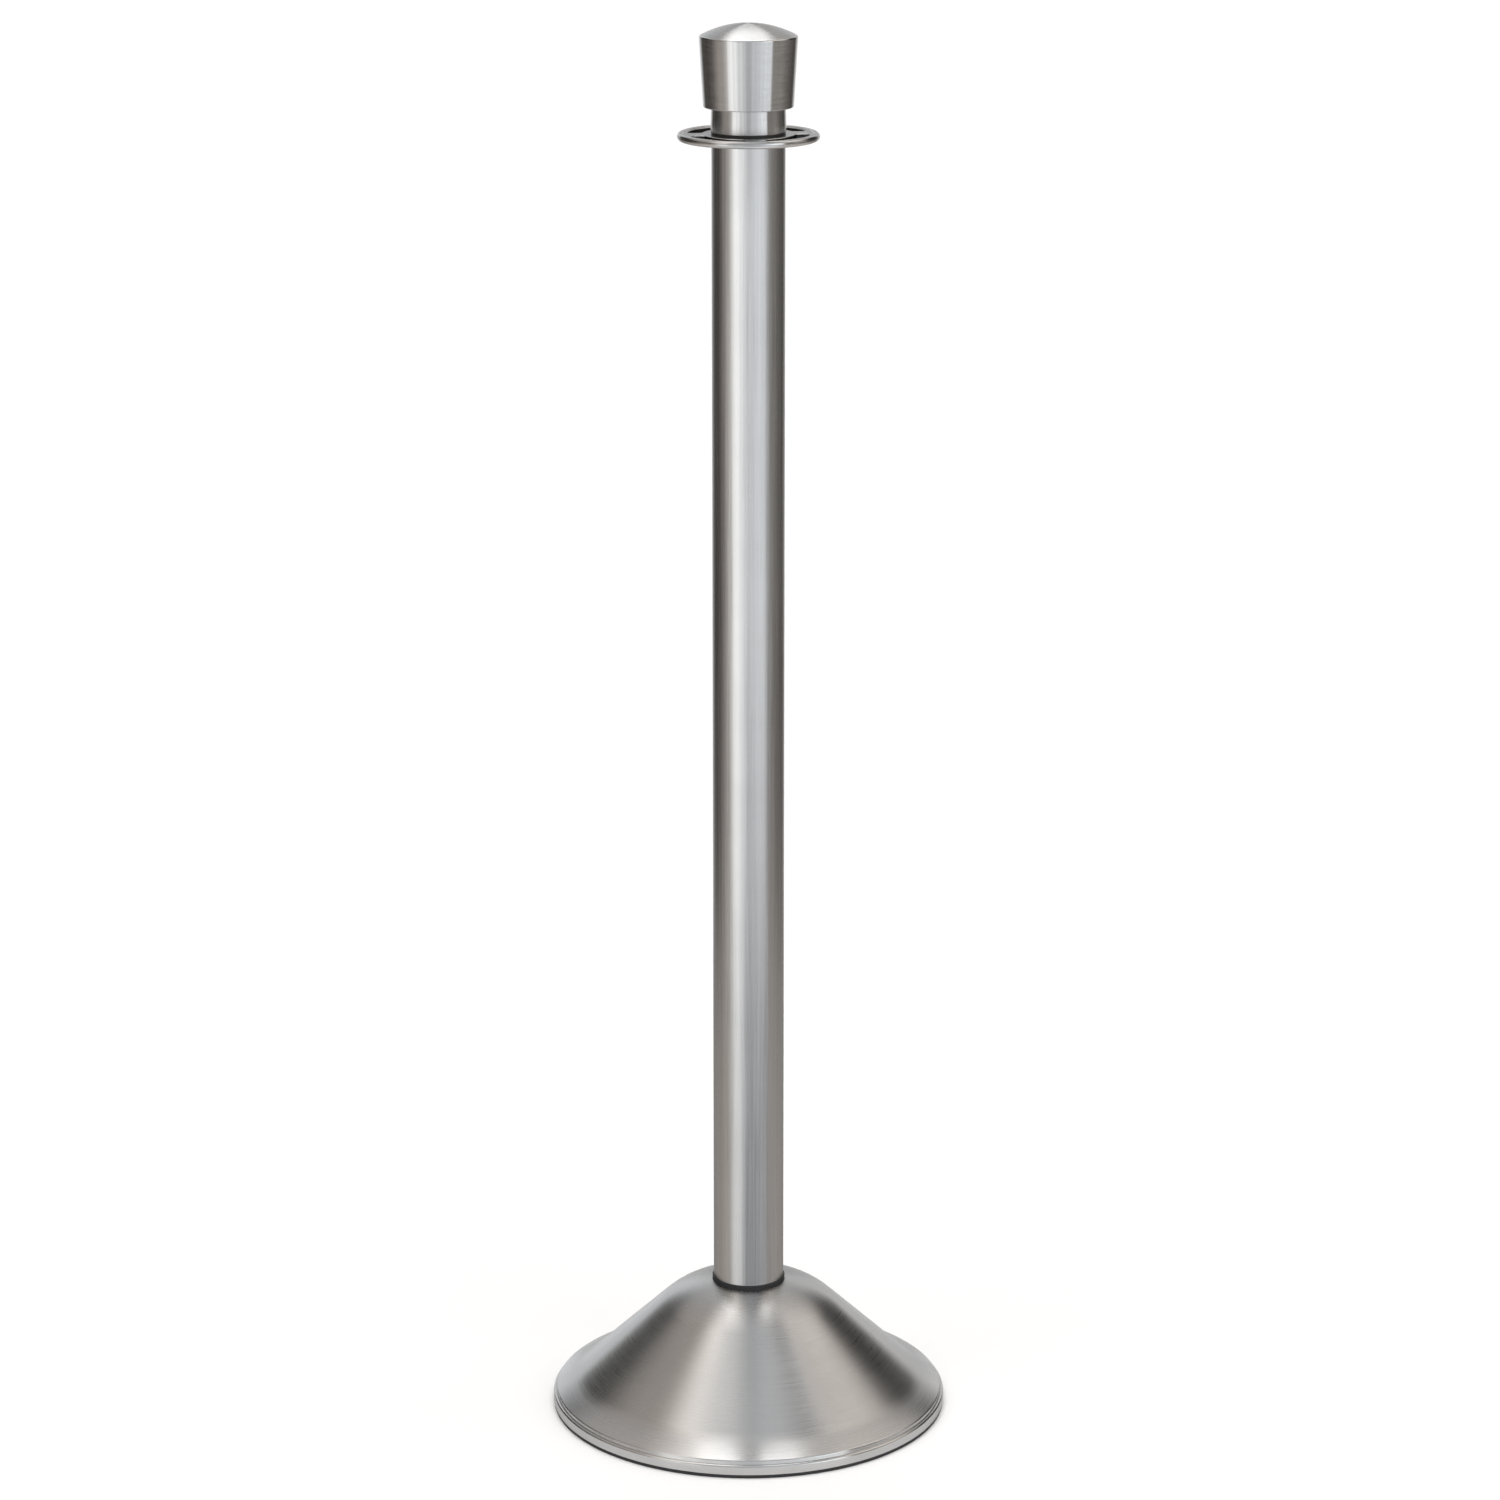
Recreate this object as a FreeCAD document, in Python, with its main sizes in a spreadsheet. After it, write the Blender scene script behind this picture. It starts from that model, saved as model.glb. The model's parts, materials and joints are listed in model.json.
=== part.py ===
import FreeCAD, Part
import math
import os

import Sketcher

# Rope barrier stanchion: a weighted round base, a tube post, a slotted ring for
# rope hooks and a screw-down crown. Millimetres, +Z up, origin on the floor
# under the middle of the base.

DIMENSIONS = {
    # Post
    "post_radius": 25.4,
    "tube_wall": 1.5,
    "post_foot_z": 98.0,
    "post_head_z": 927.2,
    "fit_gap": 0.05,
    # Plugs in the two ends of the post
    "plug_depth": 20.0,
    "plug_skirt_wall": 4.0,
    "plug_web": 5.0,
    "head_spigot_radius": 10.9,
    "head_spigot_z": 932.9,
    "foot_spigot_radius": 16.2,
    "foot_spigot_z": 88.0,
    # Tie rod with its nuts and washers
    "rod_radius": 5.0,
    "rod_chamfer": 1.0,
    "rod_foot_z": 9.5,
    "rod_head_z": 960.0,
    "rod_clearance": 0.5,
    "thread_gap": 0.05,
    "nut_corner_radius": 9.8,
    "nut_thickness": 8.0,
    "lock_washer_radius": 9.0,
    "lock_washer_thickness": 2.2,
    "lock_washer_turn": 350.0,
    "plain_washer_radius": 17.0,
    "plain_washer_thickness": 2.5,
    # Gasket between post and base
    "gasket_foot_z": 94.5,
    "gasket_radius": 26.4,
    "gasket_groove_depth": 0.5,
    "gasket_lip": 0.8,
    # Base cover: a spun shell
    "cover_gauge": 1.2,
    "cover_seat_radius": 26.0,
    "cover_brow_radius": 48.5,
    "cover_brow_z": 92.3,
    "cover_brow_round": 65.0,
    "cover_foot_radius": 124.0,
    "cover_foot_z": 21.4,
    "cover_foot_round": 40.0,
    "cover_edge_radius": 141.0,
    "cover_edge_z": 12.4,
    "cover_edge_round": 1.2,
    "cover_ledge_radius": 141.4,
    "cover_ledge_z": 9.6,
    "cover_lip_radius": 143.6,
    "cover_lip_z": 2.6,
    "cover_lip_round": 1.6,
    # Base weight: an iron casting under the cover
    "weight_radius": 142.0,
    "weight_foot_z": 4.0,
    "weight_flange_z": 8.4,
    "weight_wall_radius": 137.0,
    "weight_wall_z": 12.0,
    "weight_top_radius": 108.0,
    "weight_top_z": 26.0,
    "weight_boss_radius": 30.0,
    "weight_boss_z": 42.0,
    "weight_spigot_z": 47.0,
    "weight_recess_radius": 128.0,
    "weight_recess_z": 7.0,
    "weight_pocket_radius": 24.0,
    "weight_pocket_z": 24.0,
    "weight_round": 3.0,
    "spacer_radius": 24.0,
    # Plate under the weight and its screws
    "plate_radius": 127.0,
    "plate_thickness": 2.0,
    "screw_circle_radius": 90.0,
    "screw_radius": 2.5,
    "screw_head_radius": 4.0,
    "screw_length": 12.0,
    "screw_hole_depth": 13.0,
    "screw_socket_radius": 1.7,
    "screw_socket_depth": 1.2,
    # Floor ring: a rubber ring with a tongue in the weight's groove
    "floor_ring_radius": 141.5,
    "floor_ring_skirt_radius": 143.2,
    "floor_ring_skirt_z": 2.5,
    "floor_ring_bore": 131.0,
    "floor_ring_round": 0.4,
    "tongue_inner_radius": 134.0,
    "tongue_outer_radius": 137.0,
    "tongue_z": 7.0,
    "groove_gap": 0.1,
    # Rope ring
    "ring_plate_foot_z": 929.2,
    "ring_plate_head_z": 933.2,
    "ring_bore": 13.0,
    "ring_plate_radius": 44.5,
    "ring_bar_centre": 46.3,
    "ring_bar_radius": 2.7,
    "ring_bar_z": 931.3,
    "slot_inner_radius": 32.0,
    "slot_outer_radius": 42.5,
    "slot_corner": 3.6,
    "slot_edge_round": 0.6,
    "spoke_width": 14.5,
    "ring_rest_angle": 8.0,
    "bush_bore": 10.98,
    "bush_head_z": 932.8,
    # Thrust washer under the crown's neck
    "thrust_radius": 25.6,
    "thrust_bore": 12.3,
    "collar_radius": 13.9,
    "collar_z": 938.0,
    "bead_radius": 14.3,
    "bead_z": 937.0,
    "snap_gap": 0.3,
    # Crown: neck, cap and threaded insert
    "neck_foot_z": 934.8,
    "neck_foot_radius": 26.05,
    "neck_head_radius": 25.6,
    "neck_cavity": 14.2,
    "neck_cavity_z": 946.0,
    "crown_flange_foot_z": 951.9,
    "crown_flange_head_z": 956.0,
    "cap_foot_radius": 31.1,
    "cap_foot_z": 951.5,
    "cap_head_radius": 33.9,
    "cap_head_z": 999.5,
    "cap_apex_z": 1008.2,
    "cap_wall": 1.5,
    "cap_edge_round": 1.3,
    "cap_foot_round": 0.8,
    "insert_radius": 9.0,
    "insert_flange_radius": 13.0,
    "insert_flange_thickness": 2.5,
    "insert_head_z": 964.0,
}

SLOT_COUNT = 4
SCREW_COUNT = 4

document = FreeCAD.newDocument("rope_stanchion")
sheet = document.addObject("Spreadsheet::Sheet", "dims")
for row, (alias, size) in enumerate(DIMENSIONS.items(), start=1):
    sheet.set(f"A{row}", alias)
    sheet.set(f"B{row}", str(size))
    sheet.setAlias(f"B{row}", alias)
document.recompute()


# --- Lengths ---------------------------------------------------------------
# A length is a sum of sheet aliases, such as "post_radius - tube_wall", or "zero".

def number(terms):
    """Value of a sum of aliases."""
    total = 0.0
    sign = 1.0
    for word in terms.split():
        if word in "+-":
            sign = 1.0 if word == "+" else -1.0
        elif word != "zero":
            total += sign * sheet.get(word)
    return total


def binding(terms):
    """The same sum as an expression that reads the sheet."""
    words = [word if word in "+-" else f"dims.{word}" for word in terms.split()]
    return " ".join(words).replace("dims.zero", "0")


# --- Sketches and features -------------------------------------------------

def new_sketch(body, name, role):
    """A sketch on one of the body's own origin planes."""
    plane = next(item for item in body.Origin.OriginFeatures if item.Role == role)
    sketch = body.newObject("Sketcher::SketchObject", name)
    sketch.AttachmentSupport = [(plane, "")]
    sketch.MapMode = "FlatFace"
    return sketch


def bind_constraint(sketch, kind, places, terms):
    index = sketch.addConstraint(Sketcher.Constraint(kind, *places, number(terms)))
    sketch.setExpression(f"Constraints[{index}]", binding(terms))


def pin_point(sketch, side, end, point):
    """Fix one end of a side, or a circle's centre, at (across, up)."""
    for terms, kind, axis in ((point[0], "DistanceX", -2), (point[1], "DistanceY", -1)):
        if terms == "zero":
            sketch.addConstraint(Sketcher.Constraint("PointOnObject", side, end, axis))
        else:
            bind_constraint(sketch, kind, (-1, 1, side, end), terms)


def dome_arc(start, end):
    """Arc from start to end about a centre on the turning axis, and its end numbers."""
    middle_y = (start.y + end.y) / 2
    centre_y = middle_y + (end.x**2 - start.x**2) / (2 * (end.y - start.y))
    centre = FreeCAD.Vector(0, centre_y, 0)
    circle = Part.Circle(centre, FreeCAD.Vector(0, 0, 1), start.distanceToPoint(centre))
    if start.x > end.x:
        arc = Part.ArcOfCircle(circle, circle.parameter(start), circle.parameter(end))
        return arc, (1, 2)
    arc = Part.ArcOfCircle(circle, circle.parameter(end), circle.parameter(start))
    return arc, (2, 1)


def draw_outline(sketch, outline, domes):
    """Closed outline of (radius, height) corners; the sides in domes are arcs."""
    corners = [FreeCAD.Vector(number(across), number(up), 0) for across, up in outline]
    ends = []
    for side, start in enumerate(corners):
        end = corners[(side + 1) % len(corners)]
        geometry, numbers = Part.LineSegment(start, end), (1, 2)
        if side in domes:
            geometry, numbers = dome_arc(start, end)
        sketch.addGeometry(geometry, False)
        ends.append(numbers)
    for side, point in enumerate(outline):
        before = side - 1 if side else len(outline) - 1
        meeting = (before, ends[before][1], side, ends[side][0])
        sketch.addConstraint(Sketcher.Constraint("Coincident", *meeting))
        pin_point(sketch, side, ends[side][0], point)
        if side in domes:
            sketch.addConstraint(Sketcher.Constraint("PointOnObject", side, 3, -2))


def revolve(body, sketch):
    turn = body.newObject("PartDesign::Revolution", f"{sketch.Name}_turn")
    turn.Profile = sketch
    turn.ReferenceAxis = (sketch, ["V_Axis"])
    turn.Angle = 360
    document.recompute()
    return turn


def turned(name, outline, domes=()):
    """A body turned about Z from an outline in the XZ plane."""
    body = document.addObject("PartDesign::Body", name)
    body.Label = name
    sketch = new_sketch(body, f"{name}_outline", "XZ_Plane")
    draw_outline(sketch, outline, domes)
    revolve(body, sketch)
    return body


def circle_edges(body, radius, height):
    """Names of the circular edges with this radius that lie at this height."""
    names = []
    for index, edge in enumerate(body.Tip.Shape.Edges, start=1):
        if edge.Degenerated or edge.Curve.TypeId != "Part::GeomCircle":
            continue
        off_radius = abs(edge.Curve.Radius - number(radius))
        off_height = abs(edge.Curve.Center.z - number(height))
        if max(off_radius, off_height) < 0.01:
            names.append(f"Edge{index}")
    return names


def dress(body, kind, names, size):
    """Fillet or Chamfer the named edges of the body's last feature."""
    base = body.Tip
    feature = body.newObject(f"PartDesign::{kind}", f"{body.Name}_{kind}")
    feature.Base = (base, names)
    feature.setExpression("Radius" if kind == "Fillet" else "Size", binding(size))
    document.recompute()


def round_off(body, point, size):
    """Fillet the circular edges at (radius, height)."""
    dress(body, "Fillet", circle_edges(body, *point), size)


def bevel(body, point, size):
    """Chamfer the circular edges at (radius, height)."""
    dress(body, "Chamfer", circle_edges(body, *point), size)


def cut_around(body, sketch, floor, depth, count):
    """Pocket a sketch upwards from a height, repeated about Z."""
    before = body.Shape.Volume
    sketch.setExpression(".AttachmentOffset.Base.z", binding(floor))
    cut = body.newObject("PartDesign::Pocket", f"{sketch.Name}_cut")
    cut.Profile = sketch
    cut.Reversed = True
    cut.setExpression("Length", binding(depth))
    document.recompute()
    pattern = body.newObject("PartDesign::PolarPattern", f"{sketch.Name}_pattern")
    pattern.Originals = [cut]
    pattern.Axis = (sketch, ["N_Axis"])
    pattern.Angle = 360
    pattern.Occurrences = count
    body.Tip = pattern
    document.recompute()
    if body.Shape.Volume > before - 1:
        raise RuntimeError(f"{sketch.Name} cuts nothing")


def draw_hole(body, name, radius, ring):
    """A circle on the body's XY plane, a given way out along X."""
    sketch = new_sketch(body, name, "XY_Plane")
    centre = FreeCAD.Vector(number(ring), 0, 0)
    sketch.addGeometry(Part.Circle(centre, FreeCAD.Vector(0, 0, 1), number(radius)), False)
    pin_point(sketch, 0, 3, (ring, "zero"))
    bind_constraint(sketch, "Radius", (0,), radius)
    return sketch


def raise_to(item, height):
    item.setExpression(".Placement.Base.z", binding(height))
    document.recompute()


def washer(name, bore, radius, thickness, foot):
    """A flat ring, drawn on its own origin and placed at its height."""
    body = turned(name, [(bore, "zero"), (radius, "zero"), (radius, thickness), (bore, thickness)])
    raise_to(body, foot)
    return body


def lock_washer(name, foot):
    """A washer with a gap: the turn stops short of a full circle."""
    body = washer(name, THREAD_BORE, "lock_washer_radius", "lock_washer_thickness", foot)
    body.Tip.setExpression("Angle", binding("lock_washer_turn"))
    return body


def hex_nut(name, foot):
    """A hexagon prism less its bore."""
    prism = document.addObject("Part::Prism", f"{name}_hexagon")
    prism.Polygon = 6
    prism.setExpression("Circumradius", binding("nut_corner_radius"))
    prism.setExpression("Height", binding("nut_thickness"))
    bore = document.addObject("Part::Cylinder", f"{name}_bore")
    bore.setExpression("Radius", binding(THREAD_BORE))
    bore.setExpression("Height", binding("nut_thickness"))
    nut = document.addObject("Part::Cut", name)
    nut.Base = prism
    nut.Tool = bore
    raise_to(nut, foot)
    return nut


THREAD_BORE = "rod_radius + thread_gap"
ROD_HOLE = "rod_radius + rod_clearance"
TUBE_BORE = "post_radius - tube_wall"
SPIGOT_HOLE = "foot_spigot_radius + fit_gap"


# --- Base ------------------------------------------------------------------

def make_floor_ring():
    """Rubber ring that the stanchion stands on; its skirt shows under the cover's lip."""
    ring = turned("floor_ring", [
        ("floor_ring_bore", "zero"),
        ("floor_ring_skirt_radius", "zero"),
        ("floor_ring_skirt_radius", "floor_ring_skirt_z"),
        ("floor_ring_radius", "floor_ring_skirt_z"),
        ("floor_ring_radius", "weight_foot_z"),
        ("tongue_outer_radius", "weight_foot_z"),
        ("tongue_outer_radius", "tongue_z"),
        ("tongue_inner_radius", "tongue_z"),
        ("tongue_inner_radius", "weight_foot_z"),
        ("floor_ring_bore", "weight_foot_z"),
    ])
    round_off(ring, ("floor_ring_skirt_radius", "zero"), "floor_ring_round")
    round_off(ring, ("floor_ring_bore", "zero"), "floor_ring_round")
    return ring


def make_base_weight():
    """Iron casting: rim flange, raised top, boss, nut pocket and plate recess."""
    weight = turned("base_weight", [
        (ROD_HOLE, "weight_pocket_z"),
        ("weight_pocket_radius", "weight_pocket_z"),
        ("weight_pocket_radius", "weight_recess_z"),
        ("weight_recess_radius", "weight_recess_z"),
        ("weight_recess_radius", "weight_foot_z"),
        ("tongue_inner_radius - groove_gap", "weight_foot_z"),
        ("tongue_inner_radius - groove_gap", "tongue_z + groove_gap"),
        ("tongue_outer_radius + groove_gap", "tongue_z + groove_gap"),
        ("tongue_outer_radius + groove_gap", "weight_foot_z"),
        ("weight_radius", "weight_foot_z"),
        ("weight_radius", "weight_flange_z"),
        ("weight_wall_radius", "weight_flange_z"),
        ("weight_wall_radius", "weight_wall_z"),
        ("weight_top_radius", "weight_top_z"),
        ("weight_boss_radius", "weight_top_z"),
        ("weight_boss_radius", "weight_boss_z"),
        ("foot_spigot_radius", "weight_boss_z"),
        ("foot_spigot_radius", "weight_spigot_z"),
        (ROD_HOLE, "weight_spigot_z"),
    ])
    round_off(weight, ("weight_top_radius", "weight_top_z"), "weight_round")
    round_off(weight, ("weight_boss_radius", "weight_top_z"), "weight_round")
    holes = draw_hole(weight, "screw_holes", "screw_radius + thread_gap", "screw_circle_radius")
    cut_around(weight, holes, "weight_recess_z", "screw_hole_depth", SCREW_COUNT)
    return weight


def make_base_plate():
    """Steel disc that closes the underside of the weight."""
    hole_radius = "screw_radius + thread_gap"
    plate = washer(
        "base_plate", "zero", "plate_radius", "plate_thickness", "weight_recess_z - plate_thickness"
    )
    holes = draw_hole(plate, "plate_holes", hole_radius, "screw_circle_radius")
    cut_around(plate, holes, "zero", "plate_thickness", SCREW_COUNT)
    bevel(plate, (hole_radius, "zero"), "screw_head_radius - screw_radius - thread_gap")
    return plate


def make_plate_screws():
    """Countersunk socket screws, heads flush with the plate."""
    screws = []
    for index in range(SCREW_COUNT):
        blank = turned(f"screw_blank_{index}", [
            ("zero", "zero"),
            ("screw_head_radius - thread_gap", "zero"),
            ("screw_radius", "screw_head_radius - screw_radius - thread_gap"),
            ("screw_radius", "screw_length"),
            ("zero", "screw_length"),
        ])
        socket = document.addObject("Part::Prism", f"screw_socket_{index}")
        socket.Polygon = 6
        socket.setExpression("Circumradius", binding("screw_socket_radius"))
        socket.setExpression("Height", binding("screw_socket_depth"))
        screw = document.addObject("Part::Cut", f"plate_screw_{index}")
        screw.Base = blank
        screw.Tool = socket
        turn = FreeCAD.Rotation(FreeCAD.Vector(0, 0, 1), 360 * index / SCREW_COUNT)
        place = turn.multVec(FreeCAD.Vector(number("screw_circle_radius"), 0, 0))
        place.z = number("weight_recess_z - plate_thickness")
        screw.Placement = FreeCAD.Placement(place, turn)
        screws.append(screw)
    group = document.addObject("Part::Compound", "plate_screws")
    group.Links = screws
    document.recompute()
    return group


def inner_corners(outer, gauge):
    """Corners of the line that runs one gauge inside an open line of corners."""
    sides = []
    for start, end in zip(outer, outer[1:]):
        along = (end - start).normalize()
        inward = FreeCAD.Vector(along.y, -along.x, 0)
        sides.append((start + inward * gauge, end + inward * gauge, along))
    corners = [sides[0][0]]
    for (_, corner, along), (_, _, onward) in zip(sides, sides[1:]):
        half_turn = along.getAngle(onward) / 2
        left = along.cross(onward).z
        shift = gauge * math.tan(half_turn) * (1 if left > 0 else -1)
        corners.append(corner + along * shift)
    return corners + [sides[-1][1]]


def bend_edges(cover, radius, height):
    """The shell's outer and inner edges at one bend: both within two gauges of it."""
    names = []
    for index, edge in enumerate(cover.Tip.Shape.Edges, start=1):
        if edge.Degenerated or edge.Curve.TypeId != "Part::GeomCircle":
            continue
        aside = edge.Curve.Radius - number(radius)
        above = edge.Curve.Center.z - number(height)
        if math.hypot(aside, above) < 2 * number("cover_gauge"):
            names.append(f"Edge{index}")
    return names


def draw_shell(sketch, path):
    """Closed outline of a sheet: a line of corners and a parallel line inside it."""
    outer = [FreeCAD.Vector(number(across), number(up), 0) for across, up in path]
    inner = inner_corners(outer, number("cover_gauge"))
    corners = outer + inner[::-1]
    count = len(corners)
    for side, start in enumerate(corners):
        sketch.addGeometry(Part.LineSegment(start, corners[(side + 1) % count]), False)
    for side in range(count):
        meeting = (side, 2, (side + 1) % count, 1)
        sketch.addConstraint(Sketcher.Constraint("Coincident", *meeting))
    for side, point in enumerate(path):
        pin_point(sketch, side, 1, point)
    for side in range(len(path) - 1):
        partner = count - 2 - side
        sketch.addConstraint(Sketcher.Constraint("Parallel", side, partner))
        bind_constraint(sketch, "Distance", (partner, 1, side), "cover_gauge")
    sketch.addConstraint(Sketcher.Constraint("Horizontal", len(path) - 1))
    sketch.addConstraint(Sketcher.Constraint("Vertical", count - 1))


def make_base_cover():
    """Spun shell: gently sloped seat, cone, flared foot, ledge and upright lip."""
    cover = document.addObject("PartDesign::Body", "base_cover")
    sketch = new_sketch(cover, "base_cover_outline", "XZ_Plane")
    draw_shell(sketch, [
        (SPIGOT_HOLE, "gasket_foot_z"),
        ("cover_seat_radius", "gasket_foot_z"),
        ("cover_brow_radius", "cover_brow_z"),
        ("cover_foot_radius", "cover_foot_z"),
        ("cover_edge_radius", "cover_edge_z"),
        ("cover_ledge_radius", "cover_ledge_z"),
        ("cover_lip_radius", "cover_ledge_z"),
        ("cover_lip_radius", "cover_lip_z"),
    ])
    revolve(cover, sketch)
    for corner in ("brow", "foot", "edge"):
        bends = bend_edges(cover, f"cover_{corner}_radius", f"cover_{corner}_z")
        dress(cover, "Fillet", bends, f"cover_{corner}_round")
    round_off(cover, ("cover_lip_radius", "cover_ledge_z"), "cover_lip_round")
    return cover


def make_hub_spacer():
    """Steel tube that carries the post's clamp load from the cover to the weight."""
    foot = "weight_boss_z"
    head = "gasket_foot_z - cover_gauge"
    return turned("hub_spacer", [
        (SPIGOT_HOLE, foot),
        ("spacer_radius", foot),
        ("spacer_radius", head),
        (SPIGOT_HOLE, head),
    ])


# --- Post ------------------------------------------------------------------

def make_post_gasket():
    """Rubber ring under the post, with a shallow groove round its edge."""
    groove = "gasket_radius - gasket_groove_depth"
    return turned("post_gasket", [
        (SPIGOT_HOLE, "gasket_foot_z"),
        ("gasket_radius", "gasket_foot_z"),
        ("gasket_radius", "gasket_foot_z + gasket_lip"),
        (groove, "gasket_foot_z + gasket_lip"),
        (groove, "post_foot_z - gasket_lip"),
        ("gasket_radius", "post_foot_z - gasket_lip"),
        ("gasket_radius", "post_foot_z"),
        (SPIGOT_HOLE, "post_foot_z"),
    ])


def make_bottom_plug():
    """Plug that centres the tube on the base; its spigot goes down into the spacer."""
    skirt = TUBE_BORE + " - plug_skirt_wall"
    return turned("bottom_plug", [
        (ROD_HOLE, "foot_spigot_z"),
        ("foot_spigot_radius", "foot_spigot_z"),
        ("foot_spigot_radius", "post_foot_z"),
        (TUBE_BORE + " - fit_gap", "post_foot_z"),
        (TUBE_BORE + " - fit_gap", "post_foot_z + plug_depth"),
        (skirt, "post_foot_z + plug_depth"),
        (skirt, "post_foot_z + plug_web"),
        (ROD_HOLE, "post_foot_z + plug_web"),
    ])


def make_post_tube():
    return turned("post_tube", [
        (TUBE_BORE, "post_foot_z"),
        ("post_radius", "post_foot_z"),
        ("post_radius", "post_head_z"),
        (TUBE_BORE, "post_head_z"),
    ])


def make_top_plug():
    """Flanged plug in the tube's head; the rope ring turns on its upper spigot."""
    skirt = TUBE_BORE + " - plug_skirt_wall"
    return turned("top_plug", [
        (ROD_HOLE, "post_head_z - plug_web"),
        (skirt, "post_head_z - plug_web"),
        (skirt, "post_head_z - plug_depth"),
        (TUBE_BORE + " - fit_gap", "post_head_z - plug_depth"),
        (TUBE_BORE + " - fit_gap", "post_head_z"),
        ("post_radius", "post_head_z"),
        ("post_radius", "ring_plate_foot_z"),
        ("head_spigot_radius", "ring_plate_foot_z"),
        ("head_spigot_radius", "head_spigot_z"),
        (ROD_HOLE, "head_spigot_z"),
    ])


def make_tie_rod():
    """Full-length rod: clamps base, post and top plug, and carries the crown."""
    rod = turned("tie_rod", [
        ("zero", "rod_foot_z"),
        ("rod_radius", "rod_foot_z"),
        ("rod_radius", "rod_head_z"),
        ("zero", "rod_head_z"),
    ])
    bevel(rod, ("rod_radius", "rod_foot_z"), "rod_chamfer")
    bevel(rod, ("rod_radius", "rod_head_z"), "rod_chamfer")
    return rod


def make_clamp_hardware():
    """Washers and nuts at the two ends of the tie rod."""
    under_washer = "weight_pocket_z - plain_washer_thickness"
    under_lock = under_washer + " - lock_washer_thickness"
    above_lock = "head_spigot_z + lock_washer_thickness"
    return [
        washer("rod_washer", ROD_HOLE, "plain_washer_radius", "plain_washer_thickness", under_washer),
        lock_washer("rod_lock_washer", under_lock),
        hex_nut("rod_nut", under_lock + " - nut_thickness"),
        lock_washer("top_lock_washer", "head_spigot_z"),
        hex_nut("top_nut", above_lock),
    ]


# --- Rope ring -------------------------------------------------------------

def draw_slot(ring):
    """One curved slot: two arcs about the middle, its ends parallel to the spokes."""
    sketch = new_sketch(ring, "slot", "XY_Plane")
    side = number("spoke_width") / 2
    origin = FreeCAD.Vector(0, 0, 0)
    upright = FreeCAD.Vector(0, 0, 1)
    reach = {}
    for arc, alias in ((0, "slot_inner_radius"), (1, "slot_outer_radius")):
        radius = number(alias)
        reach[arc] = math.sqrt(radius**2 - side**2)
        low = math.asin(side / radius)
        circle = Part.Circle(origin, upright, radius)
        sketch.addGeometry(Part.ArcOfCircle(circle, low, math.pi / 2 - low), False)
        sketch.addConstraint(Sketcher.Constraint("Coincident", arc, 3, -1, 1))
        bind_constraint(sketch, "Radius", (arc,), alias)
    low_end = (FreeCAD.Vector(reach[0], side, 0), FreeCAD.Vector(reach[1], side, 0))
    high_end = (FreeCAD.Vector(side, reach[0], 0), FreeCAD.Vector(side, reach[1], 0))
    for line, corners in ((2, low_end), (3, high_end)):
        arc_end = line - 1
        sketch.addGeometry(Part.LineSegment(*corners), False)
        sketch.addConstraint(Sketcher.Constraint("Coincident", line, 1, 0, arc_end))
        sketch.addConstraint(Sketcher.Constraint("Coincident", line, 2, 1, arc_end))
        direction = "Horizontal" if line == 2 else "Vertical"
        sketch.addConstraint(Sketcher.Constraint(direction, line))
    for line, kind in ((2, "DistanceY"), (3, "DistanceX")):
        index = sketch.addConstraint(Sketcher.Constraint(kind, -1, 1, line, 1, side))
        sketch.setExpression(f"Constraints[{index}]", "dims.spoke_width / 2")
    return sketch


def slot_edges(shape, upright):
    """Names of the slots' upright corner edges, or of their rim edges."""
    low = number("slot_inner_radius") - 0.1
    high = number("slot_outer_radius") + 0.1
    names = []
    for index, edge in enumerate(shape.Edges, start=1):
        box = edge.BoundBox
        in_slot = all(low < math.hypot(v.X, v.Y) < high for v in edge.Vertexes)
        if in_slot and (box.ZLength > 1) == upright:
            names.append(f"Edge{index}")
    return names


def make_rope_ring():
    """Slotted disc with a round rim bar that the rope hooks close on."""
    ring = turned("rope_ring", [
        ("ring_bore", "ring_plate_foot_z"),
        ("ring_plate_radius", "ring_plate_foot_z"),
        ("ring_plate_radius", "ring_plate_head_z"),
        ("ring_bore", "ring_plate_head_z"),
    ])
    bar = new_sketch(ring, "rim_bar", "XZ_Plane")
    centre = FreeCAD.Vector(number("ring_bar_centre"), number("ring_bar_z"), 0)
    section = Part.Circle(centre, FreeCAD.Vector(0, 0, 1), number("ring_bar_radius"))
    bar.addGeometry(section, False)
    pin_point(bar, 0, 3, ("ring_bar_centre", "ring_bar_z"))
    bind_constraint(bar, "Radius", (0,), "ring_bar_radius")
    revolve(ring, bar)
    slot_floor = "ring_bar_z - ring_bar_radius"
    cut_around(ring, draw_slot(ring), slot_floor, "ring_bar_radius + ring_bar_radius", SLOT_COUNT)
    dress(ring, "Fillet", slot_edges(ring.Shape, True), "slot_corner")
    dress(ring, "Fillet", slot_edges(ring.Shape, False), "slot_edge_round")
    turn = FreeCAD.Rotation(FreeCAD.Vector(0, 0, 1), number("ring_rest_angle"))
    ring.Placement = FreeCAD.Placement(FreeCAD.Vector(0, 0, 0), turn)
    return ring


def make_ring_bush():
    """Nylon liner pressed in the ring; it runs on the top plug's spigot."""
    return turned("ring_bush", [
        ("bush_bore", "ring_plate_foot_z"),
        ("ring_bore - fit_gap", "ring_plate_foot_z"),
        ("ring_bore - fit_gap", "bush_head_z"),
        ("bush_bore", "bush_head_z"),
    ])


# --- Crown -----------------------------------------------------------------

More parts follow.
